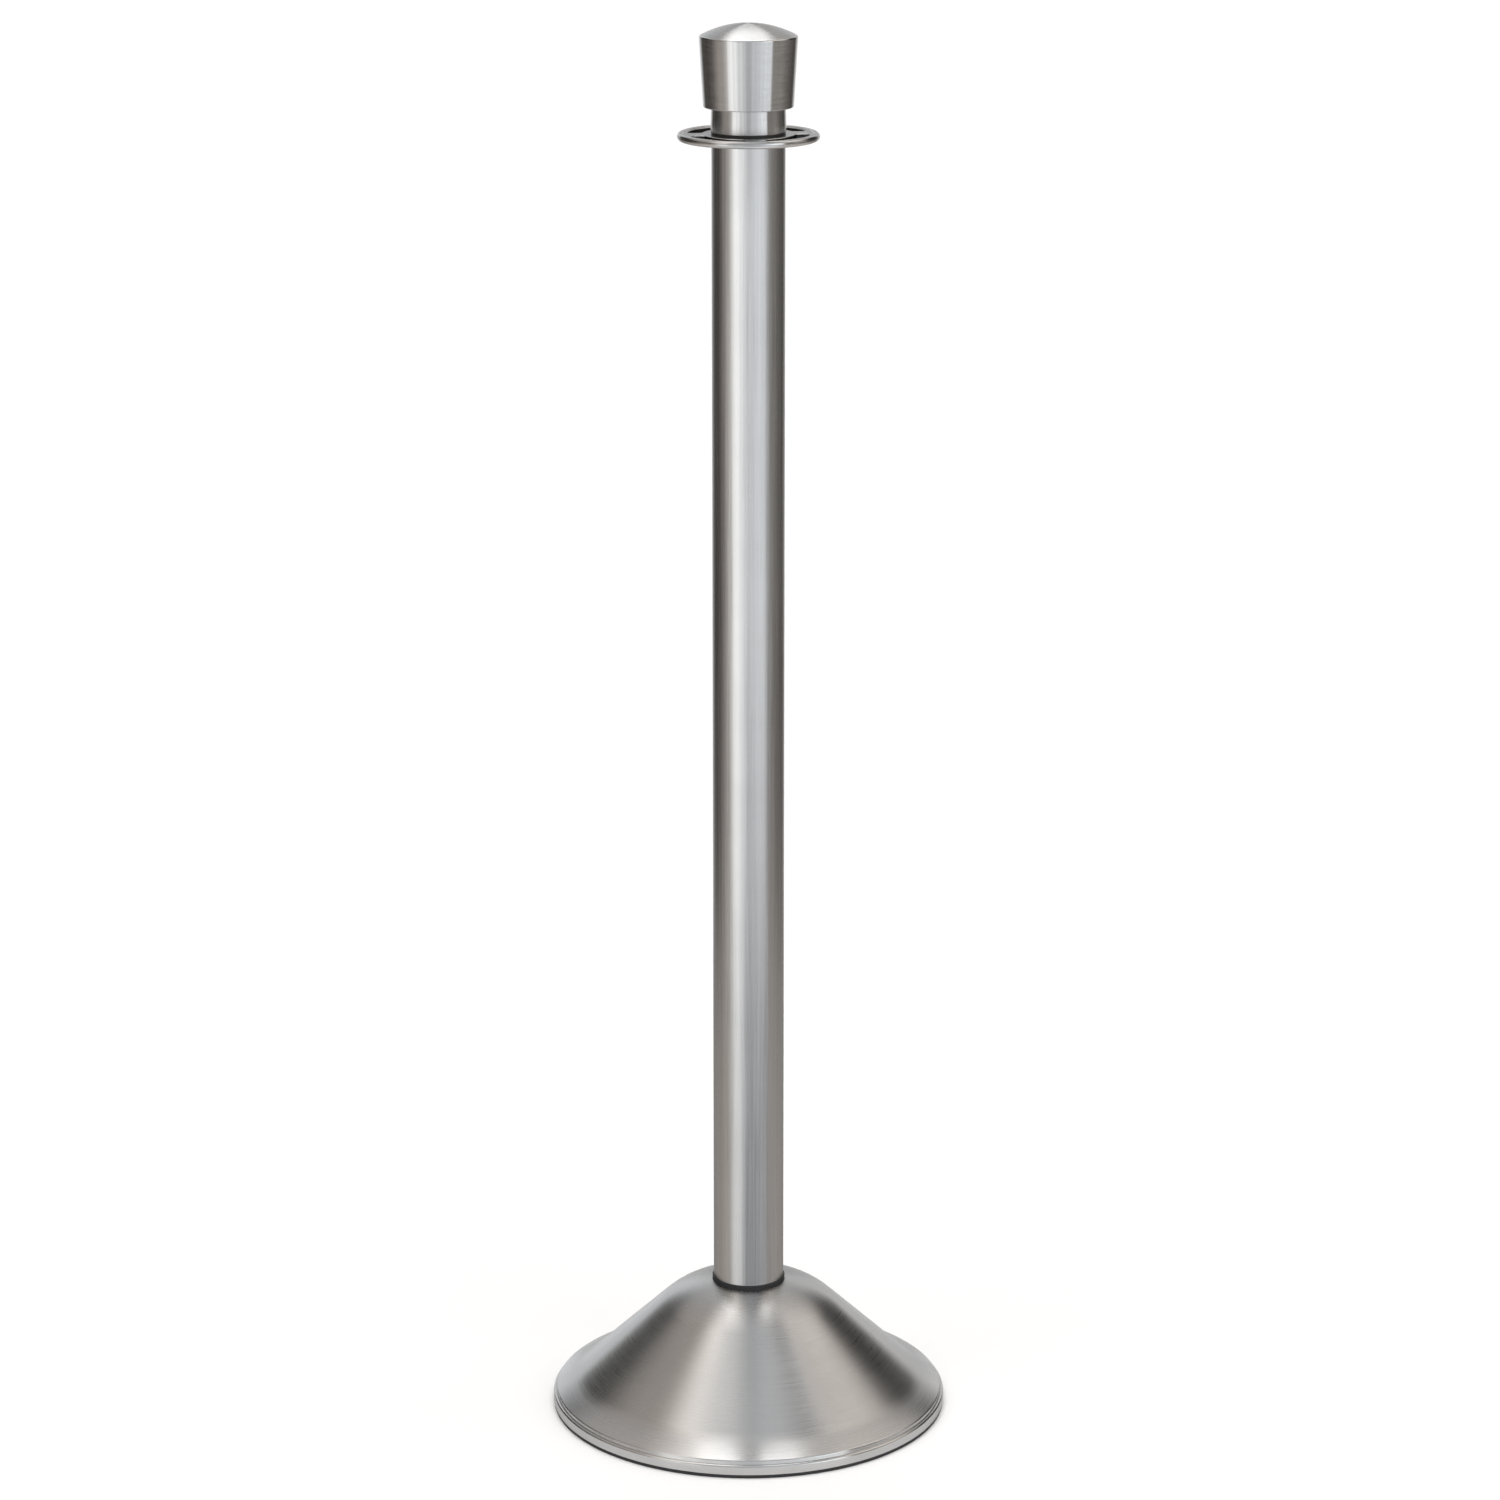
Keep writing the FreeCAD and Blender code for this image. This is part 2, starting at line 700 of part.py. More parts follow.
def make_thrust_washer():
    """Nylon washer between ring and crown; its collar snaps into the neck."""
    return turned("thrust_washer", [
        ("thrust_bore", "ring_plate_head_z"),
        ("thrust_radius", "ring_plate_head_z"),
        ("thrust_radius", "neck_foot_z"),
        ("collar_radius", "neck_foot_z"),
        ("collar_radius", "bead_z"),
        ("bead_radius", "bead_z"),
        ("bead_radius", "collar_z"),
        ("thrust_bore", "collar_z"),
    ])


def make_crown_neck():
    """Turned neck: cavity over the top nut, snap groove and the cap's flange."""
    groove = "bead_radius + snap_gap"
    flange = "cap_foot_radius - cap_wall - fit_gap"
    insert_hole = "insert_radius + fit_gap"
    return turned("crown_neck", [
        ("neck_cavity", "neck_foot_z"),
        ("neck_foot_radius", "neck_foot_z"),
        ("neck_head_radius", "crown_flange_foot_z"),
        (flange, "crown_flange_foot_z"),
        (flange, "crown_flange_head_z"),
        (insert_hole, "crown_flange_head_z"),
        (insert_hole, "neck_cavity_z"),
        ("neck_cavity", "neck_cavity_z"),
        ("neck_cavity", "collar_z + snap_gap"),
        (groove, "collar_z + snap_gap"),
        (groove, "bead_z - snap_gap"),
        ("neck_cavity", "bead_z - snap_gap"),
    ])


def make_crown_cap():
    """Spun cup, wider at the head, with a shallow domed top."""
    cap = turned("crown_cap", [
        ("cap_foot_radius", "cap_foot_z"),
        ("cap_head_radius", "cap_head_z"),
        ("zero", "cap_apex_z"),
        ("zero", "cap_apex_z - cap_wall"),
        ("cap_head_radius - cap_wall", "cap_head_z - cap_wall"),
        ("cap_foot_radius - cap_wall", "cap_foot_z"),
    ], domes=(1, 3))
    round_off(cap, ("cap_head_radius", "cap_head_z"), "cap_edge_round")
    round_off(cap, ("cap_foot_radius", "cap_foot_z"), "cap_foot_round")
    return cap


def make_crown_insert():
    """Flanged steel bush, threaded on the tie rod."""
    flange_head = "crown_flange_head_z + insert_flange_thickness"
    return turned("crown_insert", [
        (THREAD_BORE, "neck_cavity_z"),
        ("insert_radius", "neck_cavity_z"),
        ("insert_radius", "crown_flange_head_z"),
        ("insert_flange_radius", "crown_flange_head_z"),
        ("insert_flange_radius", flange_head),
        ("insert_radius", flange_head),
        ("insert_radius", "insert_head_z"),
        (THREAD_BORE, "insert_head_z"),
    ])


# --- Assembly --------------------------------------------------------------

sub_parts = [
    make_floor_ring(),
    make_base_weight(),
    make_base_plate(),
    make_plate_screws(),
    make_base_cover(),
    make_hub_spacer(),
    make_post_gasket(),
    make_bottom_plug(),
    make_post_tube(),
    make_top_plug(),
    make_tie_rod(),
    *make_clamp_hardware(),
    make_rope_ring(),
    make_ring_bush(),
    make_thrust_washer(),
    make_crown_neck(),
    make_crown_cap(),
    make_crown_insert(),
]
document.recompute()

for item in document.Objects:
    if {"Invalid", "Error"} & set(item.State):
        raise RuntimeError(f"{item.Label} failed: {item.State}")

os.makedirs("parts", exist_ok=True)
for sub_part in sub_parts:
    shape = sub_part.Shape
    if shape.isNull() or not shape.isValid():
        raise RuntimeError(f"{sub_part.Label} has no valid shape")
    shape.exportStep(f"parts/{sub_part.Label}.step")
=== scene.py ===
import json
import math

import bpy
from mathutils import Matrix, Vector


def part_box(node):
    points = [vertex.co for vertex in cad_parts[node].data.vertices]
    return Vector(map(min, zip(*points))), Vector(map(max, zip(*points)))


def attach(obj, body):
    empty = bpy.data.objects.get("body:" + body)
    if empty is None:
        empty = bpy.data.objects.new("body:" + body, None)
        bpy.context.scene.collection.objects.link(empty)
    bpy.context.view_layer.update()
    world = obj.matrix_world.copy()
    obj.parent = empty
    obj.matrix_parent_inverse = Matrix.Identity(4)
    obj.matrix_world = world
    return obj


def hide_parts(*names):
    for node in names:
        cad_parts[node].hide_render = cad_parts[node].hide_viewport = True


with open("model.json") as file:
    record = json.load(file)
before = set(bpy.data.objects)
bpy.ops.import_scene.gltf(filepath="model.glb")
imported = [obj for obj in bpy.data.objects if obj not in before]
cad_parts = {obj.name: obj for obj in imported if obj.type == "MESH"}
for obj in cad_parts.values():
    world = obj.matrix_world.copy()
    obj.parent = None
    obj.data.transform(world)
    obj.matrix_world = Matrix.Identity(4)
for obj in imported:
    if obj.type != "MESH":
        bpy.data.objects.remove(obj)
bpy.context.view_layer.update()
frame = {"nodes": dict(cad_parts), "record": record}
nodes = frame["nodes"]

METRES = 0.001
EDGE = 0.3              # rounding of a plain edge, in millimetres
SMALLEST_ROUNDING = 0.3
WORN_RADIUS = 2.0       # tighter edges than this are polished by wear
ON_AXIS = 1e-6
DOME_STEPS = 28
ROUNDING_STEP = math.radians(6)


# --- Turned pieces: outlines in millimetres, (radius, height, rounding) ------

def turned_spoke(spoke, angle):
    across = spoke.x * math.cos(angle) - spoke.y * math.sin(angle)
    up = spoke.x * math.sin(angle) + spoke.y * math.cos(angle)
    return Vector((across, up))


def arc_points(middle, start, end, worn, steps=None):
    """(point, normal, worn) along an arc; a left turn bulges out of the piece."""
    first = start - middle
    last = end - middle
    turn = math.atan2(first.x * last.y - first.y * last.x, first.dot(last))
    steps = steps or max(2, math.ceil(abs(turn) / ROUNDING_STEP))
    facing = 1 if turn > 0 else -1
    points = []
    for step in range(steps + 1):
        spoke = turned_spoke(first, turn * step / steps)
        points.append((middle + spoke, spoke.normalized() * facing, worn))
    return points


def rounding_points(before, here, after, radius):
    """The arc that rounds the corner at here."""
    to_before = (before - here).normalized()
    to_after = (after - here).normalized()
    half = to_before.angle(to_after) / 2
    middle = here + (to_before + to_after).normalized() * (radius / math.sin(half))
    reach = radius / math.tan(half)
    start = here + to_before * reach
    end = here + to_after * reach
    return arc_points(middle, start, end, 1.0 if radius < WORN_RADIUS else 0.0)


def dome_middle(start, end):
    """Centre, on the axis, of the arc through two corners."""
    squares = start.length_squared - end.length_squared
    return Vector((0, squares / (2 * (start.y - end.y))))


def dome_tangent(here, there):
    """Direction of the dome's arc where it leaves here towards there."""
    spoke = here - dome_middle(here, there)
    tangent = Vector((-spoke.y, spoke.x)).normalized()
    return tangent if tangent.dot(there - here) > 0 else -tangent


def outline_points(corners, domes):
    """All points of a closed outline that runs with the solid on its left."""
    places = [Vector(corner[:2]) for corner in corners]
    count = len(corners)
    points = []
    for index, corner in enumerate(corners):
        here = places[index]
        before = places[index - 1]
        after = places[(index + 1) % count]
        if corner[2]:
            if index in domes:
                after = here + dome_tangent(here, after)
            if (index - 1) % count in domes:
                before = here + dome_tangent(here, before)
            points += rounding_points(before, here, after, corner[2])
        else:
            facing = 1 if index - 1 in domes else -1
            points.append((here, Vector((0, facing)), 0.0))
        if index in domes:
            points.append((index, None, None))
    return fill_domes(points)


def fill_domes(points):
    """Replaces each dome's marker by the points between its neighbours."""
    filled = []
    for place, entry in enumerate(points):
        if entry[1] is not None:
            filled.append(entry)
            continue
        start = points[place - 1][0]
        end = points[(place + 1) % len(points)][0]
        filled += arc_points(dome_middle(start, end), start, end, 0.0, DOME_STEPS)[1:-1]
    return filled


def inside_line(corners, gauge):
    """The line of corners one gauge inside an open line, in reverse order."""
    places = [Vector(corner[:2]) for corner in corners]
    ways = [(end - start).normalized() for start, end in zip(places, places[1:])]
    inward = [Vector((-way.y, way.x)) for way in ways]
    inside = [(*(places[0] + inward[0] * gauge), corners[0][2])]
    for index in range(1, len(places) - 1):
        way = ways[index - 1]
        turn = math.atan2(way.cross(ways[index]), way.dot(ways[index]))
        shift = inward[index - 1] * gauge - way * (gauge * math.tan(turn / 2))
        rounding = corners[index][2] - math.copysign(gauge, turn)
        inside.append((*(places[index] + shift), max(rounding, SMALLEST_ROUNDING)))
    inside.append((*(places[-1] + inward[-1] * gauge), corners[-1][2]))
    return inside[::-1]


def lathe(name, corners, domes=(), steps=192):
    """A closed mesh turned about Z, with exact normals and a wear attribute."""
    vertices, normals, wear, rings = [], [], [], []
    for point, normal, worn in outline_points(corners, domes):
        on_axis = point.x < ON_AXIS
        ring = []
        for step in range(1 if on_axis else steps):
            angle = 2 * math.pi * step / steps
            turn = (math.cos(angle), math.sin(angle))
            ring.append(len(vertices))
            vertices.append(Vector((point.x * turn[0], point.x * turn[1], point.y)) * METRES)
            normals.append((normal.x * turn[0], normal.x * turn[1], normal.y))
            wear.append(worn)
        rings.append(ring * steps if on_axis else ring)
    faces = []
    for low, high in zip(rings, rings[1:] + rings[:1]):
        for step in range(steps):
            onward = (step + 1) % steps
            face = list(dict.fromkeys((low[step], low[onward], high[onward], high[step])))
            if len(face) > 2:
                faces.append(face)
    mesh = bpy.data.meshes.new(name)
    mesh.from_pydata(vertices, [], faces)
    mesh.attributes.new("wear", "FLOAT", "POINT").data.foreach_set("value", wear)
    mesh.shade_smooth()
    mesh.normals_split_custom_set_from_vertices(normals)
    piece = bpy.data.objects.new(name, mesh)
    bpy.context.scene.collection.objects.link(piece)
    return piece


# --- Materials -------------------------------------------------------------

class Nodes:
    """Short calls for building one node tree."""

    def __init__(self, tree):
        self.tree = tree

    def add(self, kind, **settings):
        node = self.tree.nodes.new(f"ShaderNode{kind}")
        for key, value in settings.items():
            setattr(node, key, value)
        return node

    def wire(self, source, target):
        self.tree.links.new(source, target)

    def feed(self, socket, value):
        """Wires the socket to another, or sets its number or colour."""
        if isinstance(value, bpy.types.NodeSocket):
            self.wire(value, socket)
        elif isinstance(value, tuple):
            socket.default_value = (*value, 1)
        elif value is not None:
            socket.default_value = value

    def math(self, operation, first, second=None):
        node = self.add("Math", operation=operation)
        for socket, value in zip(node.inputs, (first, second)):
            self.feed(socket, value)
        return node.outputs[0]

    def split(self, vector):
        node = self.add("SeparateXYZ")
        self.wire(vector, node.inputs[0])
        return node.outputs

    def join(self, across, along, up):
        node = self.add("CombineXYZ")
        for socket, value in zip(node.inputs, (across, along, up)):
            self.feed(socket, value)
        return node.outputs[0]

    def noise(self, vector, scale, detail=2.0, rough=0.5):
        node = self.add("TexNoise", noise_dimensions="3D")
        node.inputs["Scale"].default_value = scale
        node.inputs["Detail"].default_value = detail
        node.inputs["Roughness"].default_value = rough
        self.wire(vector, node.inputs["Vector"])
        return node.outputs["Fac"]

    def spread(self, value, low, high, start=0.0, end=1.0):
        """low to high as the value goes from start to end, and no further."""
        node = self.add("MapRange")
        self.wire(value, node.inputs["Value"])
        for socket, number in zip(("From Min", "From Max", "To Min", "To Max"),
                                  (start, end, low, high)):
            node.inputs[socket].default_value = number
        return node.outputs["Result"]

    def shade(self, value, first, second, blend="MIX"):
        """A colour between two, by a value from 0 to 1."""
        node = self.add("Mix", data_type="RGBA", blend_type=blend)
        self.feed(node.inputs["Factor"], value)
        self.feed(node.inputs["A"], first)
        self.feed(node.inputs["B"], second)
        return node.outputs["Result"]

    def relief(self, height, strength, distance):
        node = self.add("Bump")
        node.inputs["Strength"].default_value = strength
        node.inputs["Distance"].default_value = distance
        self.wire(height, node.inputs["Height"])
        return node.outputs[0]


# Grain by its way: noise scale across it and along it, and the turn of the blur.
GRAIN = {"upright": (450.0, 6.0, 0.0), "round": (900.0, 2.0, 0.25)}
FINE_GRAIN = 5000.0          # noise scale across the finest grain
EDGE_TINT = (0.75, 0.75, 0.75)
LEAST_DISTANCE = 1e-5
SOFT_EDGE = 0.0002
NOISE_RANGE = (0.3, 0.7)     # the part of a noise's range that is used


def start_material(name):
    material = bpy.data.materials.new(name)
    material.use_nodes = True
    tree = Nodes(material.node_tree)
    shader = material.node_tree.nodes["Principled BSDF"]
    return material, tree, shader


def object_place(tree):
    return tree.add("TexCoord").outputs["Object"]


def round_the_axis(tree):
    """Direction about Z, as its sine and cosine, distance from Z and height."""
    across, along, up = tree.split(object_place(tree))
    square = tree.math("ADD", tree.math("MULTIPLY", across, across),
                       tree.math("MULTIPLY", along, along))
    distance = tree.math("MAXIMUM", tree.math("SQRT", square), LEAST_DISTANCE)
    turn = (tree.math("DIVIDE", across, distance), tree.math("DIVIDE", along, distance))
    return turn, distance, up


def grain_position(tree, way, fineness, length):
    """Noise coordinates drawn out along the grain: up the piece or round it."""
    if way == "upright":
        across, along, up = tree.split(object_place(tree))
        return tree.join(tree.math("MULTIPLY", across, fineness),
                         tree.math("MULTIPLY", along, fineness),
                         tree.math("MULTIPLY", up, length))
    turn, distance, up = round_the_axis(tree)
    sideways = tree.math("SUBTRACT", tree.math("MULTIPLY", distance, 0.8), up)
    return tree.join(tree.math("MULTIPLY", turn[0], length),
                     tree.math("MULTIPLY", turn[1], length),
                     tree.math("MULTIPLY", sideways, fineness))


def slot_shade_mask(tree, low, high, inside, outside):
    """1 on surfaces between two heights and two radii, such as a slot's walls, which take
    painted shade.
    """
    distance, up = round_the_axis(tree)[1:]
    mask = tree.spread(up, 1.0, 0.0, high - SOFT_EDGE, high)
    for value, edge, fade in ((up, low, SOFT_EDGE), (distance, inside, SOFT_EDGE),
                              (distance, outside, -SOFT_EDGE)):
        mask = tree.math("MULTIPLY", mask, tree.spread(value, 0.0, 1.0, edge, edge + fade))
    return mask


def scaled(tint, factor):
    return tuple(min(channel * factor, 1.0) for channel in tint)


def brushed_metal(name, way, tint, roughness, anisotropy, depth=0.12, streaks=0.10,
                  shaded_slots=None):
    """Metal with a fine grain, coarser streaks, handling marks and polished edges; given slots
    get painted shade.
    """
    material, tree, shader = start_material(name)
    width, length, blur_turn = GRAIN[way]
    shader.inputs["Metallic"].default_value = 1.0
    shader.inputs["Specular Tint"].default_value = (*EDGE_TINT, 1)
    shader.inputs["Anisotropic"].default_value = anisotropy
    shader.inputs["Anisotropic Rotation"].default_value = blur_turn
    tangent = tree.add("Tangent", direction_type="RADIAL", axis="Z")
    tree.wire(tangent.outputs[0], shader.inputs["Tangent"])
    fine = tree.noise(grain_position(tree, way, FINE_GRAIN, length * 3), 1.0, 3.0, 0.6)
    coarse = tree.noise(grain_position(tree, way, width, length), 1.0, 2.0, 0.5)
    marks = tree.noise(object_place(tree), 14.0, 4.0, 0.6)
    grain = tree.math("ADD", tree.math("MULTIPLY", fine, 0.55),
                      tree.math("MULTIPLY", coarse, 0.45))
    worn = tree.add("Attribute", attribute_name="wear").outputs["Fac"]
    polish = tree.math("MULTIPLY", worn, tree.spread(marks, 0.5, 1.0, 0.35, 0.65))
    streaked = tree.shade(tree.spread(grain, 0.0, 1.0, *NOISE_RANGE),
                          scaled(tint, 1 - streaks), scaled(tint, 1 + streaks))
    colour = tree.shade(tree.math("MULTIPLY", polish, 0.5), streaked, scaled(tint, 1.25))
    # Painted shade: the slot walls are darkened to near black to stand in for the shade inside
    # the slots.
    if shaded_slots:
        colour = tree.shade(slot_shade_mask(tree, *shaded_slots), colour, scaled(tint, 0.12))
    tree.wire(colour, shader.inputs["Base Color"])
    uneven = tree.math("ADD", tree.spread(grain, -0.18, 0.18, *NOISE_RANGE),
                       tree.spread(marks, -0.10, 0.10, *NOISE_RANGE))
    uneven = tree.math("SUBTRACT", tree.math("ADD", uneven, 1.0),
                       tree.math("MULTIPLY", polish, 0.35))
    tree.wire(tree.math("MULTIPLY", uneven, roughness), shader.inputs["Roughness"])
    tree.wire(tree.relief(grain, depth, 0.00008), shader.inputs["Normal"])
    return material


def plain_finish(name, dark, light, roughness, metallic=0.0, scale=400.0, depth=0.2):
    """Moulded, cast or plated finish: mottled colour, uneven gloss, fine texture."""
    material, tree, shader = start_material(name)
    shader.inputs["Metallic"].default_value = metallic
    place = object_place(tree)
    fine = tree.noise(place, scale, 4.0, 0.6)
    broad = tree.noise(place, scale / 12, 3.0, 0.5)
    worn = tree.add("Attribute", attribute_name="wear").outputs["Fac"]
    mottle = tree.math("ADD", tree.math("MULTIPLY", fine, 0.5),
                       tree.math("MULTIPLY", broad, 0.5))
    lifted = tree.math("ADD", tree.spread(mottle, 0.0, 1.0, *NOISE_RANGE),
                       tree.math("MULTIPLY", worn, 0.4))
    tree.wire(tree.shade(lifted, dark, light), shader.inputs["Base Color"])
    gloss = tree.spread(mottle, roughness * 0.85, min(roughness * 1.15, 1.0), *NOISE_RANGE)
    tree.wire(gloss, shader.inputs["Roughness"])
    tree.wire(tree.relief(fine, depth, 0.0001), shader.inputs["Normal"])
    return material


STAINLESS = (0.60, 0.597, 0.592)
# Heights and radii of the ring's slots, whose walls get painted shade.
RING_SLOT_SHADE = (0.9293, 0.9328, 0.0317, 0.0428)     # lowest, highest, inside, outside
finishes = {
    "brushed_stainless": brushed_metal("post_stainless", "upright", STAINLESS, 0.31, 0.80,
                                       streaks=0.24),
    "spun_stainless": brushed_metal("cover_stainless", "round", STAINLESS, 0.30, 0.95,
                                    streaks=0.06),
    "crown_stainless": brushed_metal("crown_stainless", "round", STAINLESS, 0.26, 1.0),
    "ring_stainless": brushed_metal("ring_stainless", "round", STAINLESS, 0.26, 0.5,
                                    shaded_slots=RING_SLOT_SHADE),
    "zinc_steel": plain_finish("zinc_plate", (0.42, 0.43, 0.45), (0.60, 0.61, 0.62), 0.35, 1.0),
    "cast_iron": plain_finish("black_casting", (0.03, 0.03, 0.03), (0.07, 0.07, 0.07), 0.6,
                              scale=600.0, depth=0.6),
    "cast_aluminium": plain_finish("cast_aluminium", (0.50, 0.51, 0.52), (0.64, 0.65, 0.66),
                                   0.42, 1.0),
    "black_rubber": plain_finish("black_rubber", (0.010, 0.010, 0.011), (0.030, 0.030, 0.032),
                                 0.62, scale=900.0),
    "black_nylon": plain_finish("black_nylon", (0.012, 0.012, 0.012), (0.028, 0.028, 0.028),
                                0.45, scale=700.0),
    "white_nylon": plain_finish("white_nylon", (0.62, 0.61, 0.57), (0.78, 0.77, 0.73), 0.5),
}

slot_of = {part["node"]: part["material_slot"] for part in frame["record"]["subparts"]}
for node_name, node in nodes.items():
    node.data.materials.clear()
    node.data.materials.append(finishes[slot_of[node_name]])


# --- Visible turned pieces -------------------------------------------------

def millimetres(node):
    """A node's outer radius, lowest and highest height."""
    low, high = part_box(node)
    return high.x / METRES, low.z / METRES, high.z / METRES


COVER_BORE = 16.25


def make_post_tube():
    radius, foot, head = millimetres("post_tube")
    bore = radius - 1.5
    return lathe("post_tube_skin", [
        (bore, foot, EDGE), (radius, foot, EDGE), (radius, head, EDGE), (bore, head, EDGE),
    ])


def make_base_cover():
    lip_radius, lip_foot, seat_z = millimetres("base_cover")
    gauge = 1.2
    outside = [
        (lip_radius, lip_foot, 0.25),
        (lip_radius, 9.6, 1.6),
        (141.4, 9.6, 0.35),
        (141.0, 12.4, 1.2),
        (124.0, 21.4, 40.0),
        (48.5, 92.3, 65.0),
        (26.0, seat_z, 10.0),
        (COVER_BORE, seat_z, 0.25),
    ]
    return lathe("base_cover_shell", outside + inside_line(outside, gauge), steps=256)


def make_post_gasket():
    radius, foot, head = millimetres("post_gasket")
    groove = radius - 0.5
    groove_foot = foot + 0.8
    groove_head = head - 0.8
    return lathe("post_gasket_ring", [
        (COVER_BORE, foot, 0.2), (radius, foot, 0.25), (radius, groove_foot, 0.25),
        (groove, groove_foot, 0.2), (groove, groove_head, 0.2), (radius, groove_head, 0.25),
        (radius, head, 0.25), (COVER_BORE, head, 0.2),
    ])


def make_floor_ring():
    skirt, foot, tongue = millimetres("floor_ring")
    bore, tongue_inside, tongue_outside, radius = 131.0, 134.0, 137.0, 141.5
    skirt_head, shelf = 2.5, 4.0
    return lathe("floor_ring_rubber", [
        (bore, foot, 0.4), (skirt, foot, 0.4), (skirt, skirt_head, 0.3),
        (radius, skirt_head, 0.3), (radius, shelf, 0.4), (tongue_outside, shelf, 0.3),
        (tongue_outside, tongue, 0.4), (tongue_inside, tongue, 0.4),
        (tongue_inside, shelf, 0.3), (bore, shelf, 0.4),
    ], steps=256)


def make_thrust_washer():
    radius, foot, collar = millimetres("thrust_washer")
    bore, sleeve, snap = 12.3, 13.9, 14.3
    flange_head, snap_foot = 934.8, 937.0
    return lathe("thrust_washer_ring", [
        (bore, foot, 0.2), (radius, foot, 0.3), (radius, flange_head, 0.3),
        (sleeve, flange_head, 0.2), (sleeve, snap_foot, 0.15), (snap, snap_foot, 0.15),
        (snap, collar, 0.2), (bore, collar, 0.2),
    ])


def make_crown_neck():
    flange, foot, flange_head = millimetres("crown_neck")
    flange_foot = 951.9
    bore, recess, groove = 9.05, 14.2, 14.6
    recess_head, groove_head, groove_foot = 946.0, 938.3, 936.7
    return lathe("crown_neck_turned", [
        (recess, foot, 0.3), (26.05, foot, 0.4), (25.6, flange_foot, 0.2),
        (flange, flange_foot, 0.2), (flange, flange_head, 0.3), (bore, flange_head, 0.3),
        (bore, recess_head, 0.3), (recess, recess_head, 0.3), (recess, groove_head, 0.2),
        (groove, groove_head, 0.15), (groove, groove_foot, 0.15), (recess, groove_foot, 0.2),
    ])


def make_crown_cap():
    foot, apex = millimetres("crown_cap")[1:]
    foot_radius, head_radius = 31.1, 33.9
    wall = 1.5
    edge_z = 999.5
    return lathe("crown_cap_shell", [
        (foot_radius, foot, 0.7),
        (head_radius, edge_z, 1.3),
        (0.0, apex, 0),
        (0.0, apex - wall, 0),
        (head_radius - wall, edge_z - wall, 0.4),
        (foot_radius - wall, foot, 0.2),
    ], domes=(1, 3))


def stand_for(piece, node, body, slot):
    """The piece takes a CAD node's place, on the same body."""
    piece.data.materials.append(finishes[slot])
    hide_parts(node)
    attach(piece, body)


stand_for(make_post_tube(), "post_tube", "post", "brushed_stainless")
stand_for(make_base_cover(), "base_cover", "post", "spun_stainless")
stand_for(make_post_gasket(), "post_gasket", "post", "black_rubber")
stand_for(make_floor_ring(), "floor_ring", "post", "black_rubber")
stand_for(make_thrust_washer(), "thrust_washer", "thrust", "black_nylon")
stand_for(make_crown_neck(), "crown_neck", "crown", "crown_stainless")
stand_for(make_crown_cap(), "crown_cap", "crown", "crown_stainless")


# --- Studio ----------------------------------------------------------------

CIRCLE_STEPS = 96
FLOOR_RADIUS = 60.0
MIDDLE_RADIUS = 0.19
MIDDLE_HEIGHT = 0.0001
BACKDROP_RADIUS = 20.0
BACKDROP_FOOT = -1.0
BACKDROP_HEAD = 20.0
WHITE_PAPER = 0.93
GREY_PAPER = 0.72


def circle(radius, height):
    turns = [2 * math.pi * step / CIRCLE_STEPS for step in range(CIRCLE_STEPS)]
    return [(radius * math.cos(turn), radius * math.sin(turn), height) for turn in turns]


def paper(name, value):
    return plain_finish(name, (value * 0.99,) * 3, (value,) * 3, 0.9, depth=0.0)


def studio_piece(name, points, faces, material):
    """A surface of the studio, which is not part of the object."""
    mesh = bpy.data.meshes.new(name)
    mesh.from_pydata(points, [], faces)
    mesh.materials.append(material)
    piece = bpy.data.objects.new(name, mesh)
    bpy.context.scene.collection.objects.link(piece)
    return piece


def make_floor():
    """A pale floor; beyond its middle the metal sees the studio's lower half instead."""
    disc = [range(CIRCLE_STEPS)]
    floor = studio_piece("floor", circle(FLOOR_RADIUS, 0.0), disc,
                         paper("floor_paper", WHITE_PAPER))
    floor.visible_glossy = False
    middle = studio_piece("floor_middle", circle(MIDDLE_RADIUS, MIDDLE_HEIGHT), disc,
                          paper("floor_middle_paper", GREY_PAPER))
    middle.visible_camera = False
    middle.visible_diffuse = False
    middle.visible_shadow = False


def make_backdrop():
    """A white wall far round the studio that only the camera sees."""
    white = paper("backdrop_paper", WHITE_PAPER)
    shader = white.node_tree.nodes["Principled BSDF"]
    shader.inputs["Emission Color"].default_value = (1, 1, 1, 1)
    shader.inputs["Emission Strength"].default_value = 1.0
    points = circle(BACKDROP_RADIUS, BACKDROP_FOOT) + circle(BACKDROP_RADIUS, BACKDROP_HEAD)
    faces = []
    for step in range(CIRCLE_STEPS):
        onward = (step + 1) % CIRCLE_STEPS
        faces.append((step, onward, onward + CIRCLE_STEPS, step + CIRCLE_STEPS))
    wall = studio_piece("backdrop", points, faces, white)
    for kind in ("diffuse", "glossy", "transmission", "volume_scatter", "shadow"):
        setattr(wall, f"visible_{kind}", False)


# Brightness of the studio by compass direction: 0 is the front, + is to the right.
NEAR_FLOOR = [
    (-180, 0.60), (-120, 0.55), (-70, 0.80), (-20, 0.90), (20, 1.00), (58, 1.30),
    (63, 0.60), (120, 0.70), (180, 0.60),
]
FLOOR_LEVEL = [
    (-180, 0.39), (-100, 0.37), (-60, 0.46), (-50, 0.86), (-40, 1.00), (-28, 0.90),
    (-17, 0.60), (-6, 0.28), (6, 0.28), (20, 0.34), (38, 0.40), (52, 0.38), (75, 0.38),
    (180, 0.39),
]
EYE_LEVEL = [
    (-180, 1.00), (-157, 0.95), (-140, 0.10), (-114, 0.04), (-95, 0.10), (-78, 0.30),
    (-60, 0.50), (-53, 0.80), (-48, 1.60), (-40, 1.60), (-24, 1.25), (-10, 0.95),
    (0, 0.60), (10, 0.90), (24, 0.95), (38, 1.00), (56, 1.05), (60, 0.30), (80, 0.25),
    (100, 0.15), (142, 0.08), (156, 0.80), (180, 1.00),
]
